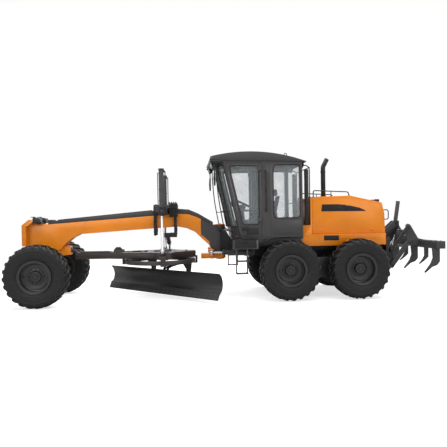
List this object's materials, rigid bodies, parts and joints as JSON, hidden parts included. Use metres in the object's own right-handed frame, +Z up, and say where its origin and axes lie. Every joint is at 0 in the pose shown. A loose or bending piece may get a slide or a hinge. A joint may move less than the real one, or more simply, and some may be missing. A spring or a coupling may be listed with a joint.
{
  "type": "motor grader",
  "caption": "Articulated six-wheeled road grader with a curved blade on a rotating circle, an enclosed cab, a rear engine and a ripper.",
  "frame": {"origin": "on the ground, midway along the length and width of the machine", "axes": "+X forward along the machine, +Y to its left, +Z up"},
  "size_m": [9.674, 2.658, 3.3297],
  "materials": {
    "tyre_rubber": "matte",
    "rim_paint": "satin",
    "window_glass": "clear",
    "rod_chrome": "polished",
    "orange_paint": "gloss",
    "grey_paint": "satin",
    "seat_fabric": "woven",
    "dark_plastic": "matte",
    "bare_steel": "brushed",
    "engine_iron": "cast",
    "black_paint": "satin"
  },
  "bodies": {
    "rear_body": {"rear_frame": "black_paint", "rear_axle": "grey_paint", "tandem_housings": "grey_paint", "engine": "engine_iron", "lower_body": "black_paint", "cab_shell": "grey_paint", "cab_glass": "window_glass", "seat": "seat_fabric", "steering_console": "dark_plastic", "handrails": "black_paint", "exhaust": "bare_steel"},
    "front_body": {"front_frame": "orange_paint", "pipe_cover": "grey_paint", "lift_saddle": "black_paint", "front_axle": "orange_paint"},
    "lean_link_left": {"lean_link_left": "orange_paint"},
    "lean_link_right": {"lean_link_right": "orange_paint"},
    "lean_bar": {"lean_bar": "orange_paint"},
    "knuckle_left": {"knuckle_left": "orange_paint"},
    "knuckle_right": {"knuckle_right": "orange_paint"},
    "tie_rod_swivel": {"tie_rod_swivel": "black_paint"},
    "tie_rod": {"tie_rod": "black_paint"},
    "drawbar": {"drawbar": "black_paint"},
    "circle": {"circle": "black_paint"},
    "blade_carrier": {"blade_carrier": "black_paint"},
    "moldboard": {"moldboard": "black_paint"},
    "hood": {"hood": "orange_paint"},
    "ripper_lower_arms": {"ripper_lower_arms": "black_paint"},
    "ripper_upper_links": {"ripper_upper_links": "black_paint"},
    "ripper_beam": {"ripper_beam": "black_paint"},
    "door_left": {"door_left": "grey_paint", "door_left_glass": "window_glass"},
    "wheel_front_left": {"tyre_front_left": "tyre_rubber", "rim_front_left": "rim_paint"},
    "wheel_mid_left": {"tyre_mid_left": "tyre_rubber", "rim_mid_left": "rim_paint"},
    "wheel_rear_left": {"tyre_rear_left": "tyre_rubber", "rim_rear_left": "rim_paint"},
    "door_right": {"door_right": "grey_paint", "door_right_glass": "window_glass"},
    "wheel_front_right": {"tyre_front_right": "tyre_rubber", "rim_front_right": "rim_paint"},
    "wheel_mid_right": {"tyre_mid_right": "tyre_rubber", "rim_mid_right": "rim_paint"},
    "wheel_rear_right": {"tyre_rear_right": "tyre_rubber", "rim_rear_right": "rim_paint"},
    "articulation_left_barrel": {"articulation_left_barrel": "black_paint"},
    "articulation_left_rod": {"articulation_left_rod": "rod_chrome"},
    "articulation_right_barrel": {"articulation_right_barrel": "black_paint"},
    "articulation_right_rod": {"articulation_right_rod": "rod_chrome"},
    "lift_left_barrel": {"lift_left_barrel": "black_paint"},
    "lift_left_rod": {"lift_left_rod": "rod_chrome"},
    "lift_right_barrel": {"lift_right_barrel": "black_paint"},
    "lift_right_rod": {"lift_right_rod": "rod_chrome"},
    "shift_barrel": {"shift_barrel": "black_paint"},
    "shift_rod": {"shift_rod": "rod_chrome"},
    "blade_tip_barrel": {"blade_tip_barrel": "black_paint"},
    "blade_tip_rod": {"blade_tip_rod": "rod_chrome"},
    "ripper_barrel": {"ripper_barrel": "black_paint"},
    "ripper_rod": {"ripper_rod": "rod_chrome"}
  },
  "joints": [
    {"name": "articulation", "type": "hinge", "parent": "rear_body", "child": "front_body", "pos_m": [0.2, 0, 1.3], "axis": [0, 0, 1], "range_deg": [-25, 25]},
    {"name": "articulation_left_swing", "type": "hinge", "parent": "rear_body", "child": "articulation_left_barrel", "pos_m": [-0.56, 0.405, 1.05], "axis": [0, 0, 1], "range_deg": [-8, 8]},
    {"name": "articulation_left_stroke", "type": "slide", "parent": "articulation_left_barrel", "child": "articulation_left_rod", "axis": [0.9998, -0.0204, 0], "range_m": [-0.19, 0.19]},
    {"name": "articulation_right_swing", "type": "hinge", "parent": "rear_body", "child": "articulation_right_barrel", "pos_m": [-0.56, -0.405, 1.05], "axis": [0, 0, 1], "range_deg": [-8, 8]},
    {"name": "articulation_right_stroke", "type": "slide", "parent": "articulation_right_barrel", "child": "articulation_right_rod", "axis": [0.9998, 0.0204, 0], "range_m": [-0.19, 0.19]},
    {"name": "wheel_lean", "type": "hinge", "parent": "front_body", "child": "lean_link_left", "pos_m": [4.163, 0.77, 0.48], "axis": [1, 0, 0], "range_deg": [-18, 18]},
    {"name": "wheel_lean_right", "type": "hinge", "parent": "front_body", "child": "lean_link_right", "pos_m": [4.163, -0.77, 0.48], "axis": [1, 0, 0], "range_deg": [-18, 18]},
    {"name": "lean_bar_pivot", "type": "hinge", "parent": "lean_link_left", "child": "lean_bar", "pos_m": [4.163, 0.77, 0.905], "axis": [1, 0, 0], "range_deg": [-18, 18]},
    {"name": "steering", "type": "hinge", "parent": "lean_link_left", "child": "knuckle_left", "pos_m": [4.163, 0.84, 0.674], "axis": [0, 0, 1], "range_deg": [-42, 42]},
    {"name": "steering_right", "type": "hinge", "parent": "lean_link_right", "child": "knuckle_right", "pos_m": [4.163, -0.84, 0.674], "axis": [0, 0, 1], "range_deg": [-42, 42]},
    {"name": "tie_rod_turn", "type": "hinge", "parent": "knuckle_left", "child": "tie_rod_swivel", "pos_m": [3.963, 0.84, 0.576], "axis": [0, 0, 1], "range_deg": [-42, 42]},
    {"name": "tie_rod_tilt", "type": "hinge", "parent": "tie_rod_swivel", "child": "tie_rod", "pos_m": [3.963, 0.84, 0.576], "axis": [1, 0, 0], "range_deg": [-17, 17]},
    {"name": "wheel_front_left_spin", "type": "hinge", "parent": "knuckle_left", "child": "wheel_front_left", "pos_m": [4.163, 1.0275, 0.674], "axis": [0, 1, 0], "continuous": true},
    {"name": "wheel_front_right_spin", "type": "hinge", "parent": "knuckle_right", "child": "wheel_front_right", "pos_m": [4.163, -1.0275, 0.674], "axis": [0, 1, 0], "continuous": true},
    {"name": "wheel_mid_left_spin", "type": "hinge", "parent": "rear_body", "child": "wheel_mid_left", "pos_m": [-1.271, 1.0275, 0.674], "axis": [0, 1, 0], "continuous": true},
    {"name": "wheel_mid_right_spin", "type": "hinge", "parent": "rear_body", "child": "wheel_mid_right", "pos_m": [-1.271, -1.0275, 0.674], "axis": [0, 1, 0], "continuous": true},
    {"name": "wheel_rear_left_spin", "type": "hinge", "parent": "rear_body", "child": "wheel_rear_left", "pos_m": [-2.843, 1.0275, 0.674], "axis": [0, 1, 0], "continuous": true},
    {"name": "wheel_rear_right_spin", "type": "hinge", "parent": "rear_body", "child": "wheel_rear_right", "pos_m": [-2.843, -1.0275, 0.674], "axis": [0, 1, 0], "continuous": true},
    {"name": "drawbar_lift", "type": "hinge", "parent": "front_body", "child": "drawbar", "pos_m": [3.718, 0, 1.15], "axis": [0, 1, 0], "range_deg": [-13.5, 7.5]},
    {"name": "lift_left_tilt", "type": "hinge", "parent": "front_body", "child": "lift_left_barrel", "pos_m": [1.53, 0.8, 2.03], "axis": [0, 1, 0], "range_deg": [-3, 3]},
    {"name": "lift_left_stroke", "type": "slide", "parent": "lift_left_barrel", "child": "lift_left_rod", "axis": [0, 0, -1], "range_m": [-0.4, 0.53]},
    {"name": "lift_right_tilt", "type": "hinge", "parent": "front_body", "child": "lift_right_barrel", "pos_m": [1.53, -0.8, 2.03], "axis": [0, 1, 0], "range_deg": [-3, 3]},
    {"name": "lift_right_stroke", "type": "slide", "parent": "lift_right_barrel", "child": "lift_right_rod", "axis": [0, 0, -1], "range_m": [-0.4, 0.53]},
    {"name": "shift_tilt", "type": "hinge", "parent": "front_body", "child": "shift_barrel", "pos_m": [1.42, 0.45, 1.48], "axis": [1, 0, 0], "range_deg": [-20, 27]},
    {"name": "shift_stroke", "type": "slide", "parent": "shift_barrel", "child": "shift_rod", "axis": [0, -0.9648, -0.2631], "range_m": [-0.12, 0.16]},
    {"name": "circle_turn", "type": "hinge", "parent": "drawbar", "child": "circle", "pos_m": [1.623, 0, 0.86], "axis": [0, 0, 1], "continuous": true},
    {"name": "blade_tip", "type": "hinge", "parent": "circle", "child": "blade_carrier", "pos_m": [1.49221, -0.13782, 0.222], "axis": [-0.7254, 0.6884, 0], "range_deg": [-5, 33]},
    {"name": "blade_side_shift", "type": "slide", "parent": "blade_carrier", "child": "moldboard", "axis": [-0.7254, 0.6884, 0], "range_m": [-0.6, 0.6]},
    {"name": "blade_tip_cylinder_tilt", "type": "hinge", "parent": "circle", "child": "blade_tip_barrel", "pos_m": [1.12739, -0.52227, 0.76], "axis": [-0.7254, 0.6884, 0], "range_deg": [-6, 6]},
    {"name": "blade_tip_stroke", "type": "slide", "parent": "blade_tip_barrel", "child": "blade_tip_rod", "axis": [0.681, 0.7176, -0.146], "range_m": [-0.06, 0.28]},
    {"name": "hood_lid", "type": "hinge", "parent": "rear_body", "child": "hood", "pos_m": [-1.852, 0, 2.316], "axis": [0, 1, 0], "range_deg": [0, 30]},
    {"name": "door_left_hinge", "type": "hinge", "parent": "rear_body", "child": "door_left", "pos_m": [-0.7, 0.816, 2.3], "axis": [0, 0, 1], "range_deg": [0, 85]},
    {"name": "door_right_hinge", "type": "hinge", "parent": "rear_body", "child": "door_right", "pos_m": [-0.7, -0.816, 2.3], "axis": [0, 0, 1], "range_deg": [-85, 0]},
    {"name": "ripper_lower", "type": "hinge", "parent": "rear_body", "child": "ripper_lower_arms", "pos_m": [-3.905, 0, 0.64], "axis": [0, -1, 0], "range_deg": [0, 82]},
    {"name": "ripper_links", "type": "hinge", "parent": "rear_body", "child": "ripper_upper_links", "pos_m": [-3.905, 0, 1.013], "axis": [0, -1, 0], "range_deg": [0, 82]},
    {"name": "ripper_beam_level", "type": "hinge", "parent": "ripper_lower_arms", "child": "ripper_beam", "pos_m": [-4.341, 0, 1.211], "axis": [0, -1, 0], "range_deg": [-82, 0]},
    {"name": "ripper_cylinder_tilt", "type": "hinge", "parent": "rear_body", "child": "ripper_barrel", "pos_m": [-4.17, 0, 1.66], "axis": [0, -1, 0], "range_deg": [-15, 15]},
    {"name": "ripper_stroke", "type": "slide", "parent": "ripper_barrel", "child": "ripper_rod", "axis": [0.1483, 0, -0.9889], "range_m": [-0.02, 0.4]}
  ],
  "couplings": [
    {"joint": "articulation_left_swing", "follows": "articulation", "ratio": 0.204},
    {"joint": "articulation_left_stroke", "follows": "articulation", "m_per_rad": -0.383},
    {"joint": "articulation_right_swing", "follows": "articulation", "ratio": 0.204},
    {"joint": "articulation_right_stroke", "follows": "articulation", "m_per_rad": 0.383},
    {"joint": "wheel_lean_right", "follows": "wheel_lean", "ratio": 1},
    {"joint": "lean_bar_pivot", "follows": "wheel_lean", "ratio": -1},
    {"joint": "steering_right", "follows": "steering", "ratio": 1},
    {"joint": "tie_rod_turn", "follows": "steering", "ratio": -1},
    {"joint": "tie_rod_tilt", "follows": "wheel_lean", "ratio": -0.91667},
    {"joint": "lift_left_tilt", "follows": "drawbar_lift", "ratio": 0.15},
    {"joint": "lift_left_stroke", "follows": "drawbar_lift", "m_per_rad": -2.166},
    {"joint": "lift_right_tilt", "follows": "drawbar_lift", "ratio": 0.15},
    {"joint": "lift_right_stroke", "follows": "drawbar_lift", "m_per_rad": -2.166},
    {"joint": "shift_tilt", "follows": "drawbar_lift", "ratio": -1.88},
    {"joint": "shift_stroke", "follows": "drawbar_lift", "m_per_rad": -0.6},
    {"joint": "blade_tip_cylinder_tilt", "follows": "blade_tip", "ratio": 0.02719},
    {"joint": "blade_tip_stroke", "follows": "blade_tip", "m_per_rad": 0.45351},
    {"joint": "ripper_links", "follows": "ripper_lower", "ratio": 1},
    {"joint": "ripper_beam_level", "follows": "ripper_lower", "ratio": -1},
    {"joint": "ripper_cylinder_tilt", "follows": "ripper_lower", "ratio": -0.115},
    {"joint": "ripper_stroke", "follows": "ripper_lower", "m_per_rad": 0.22663}
  ]
}
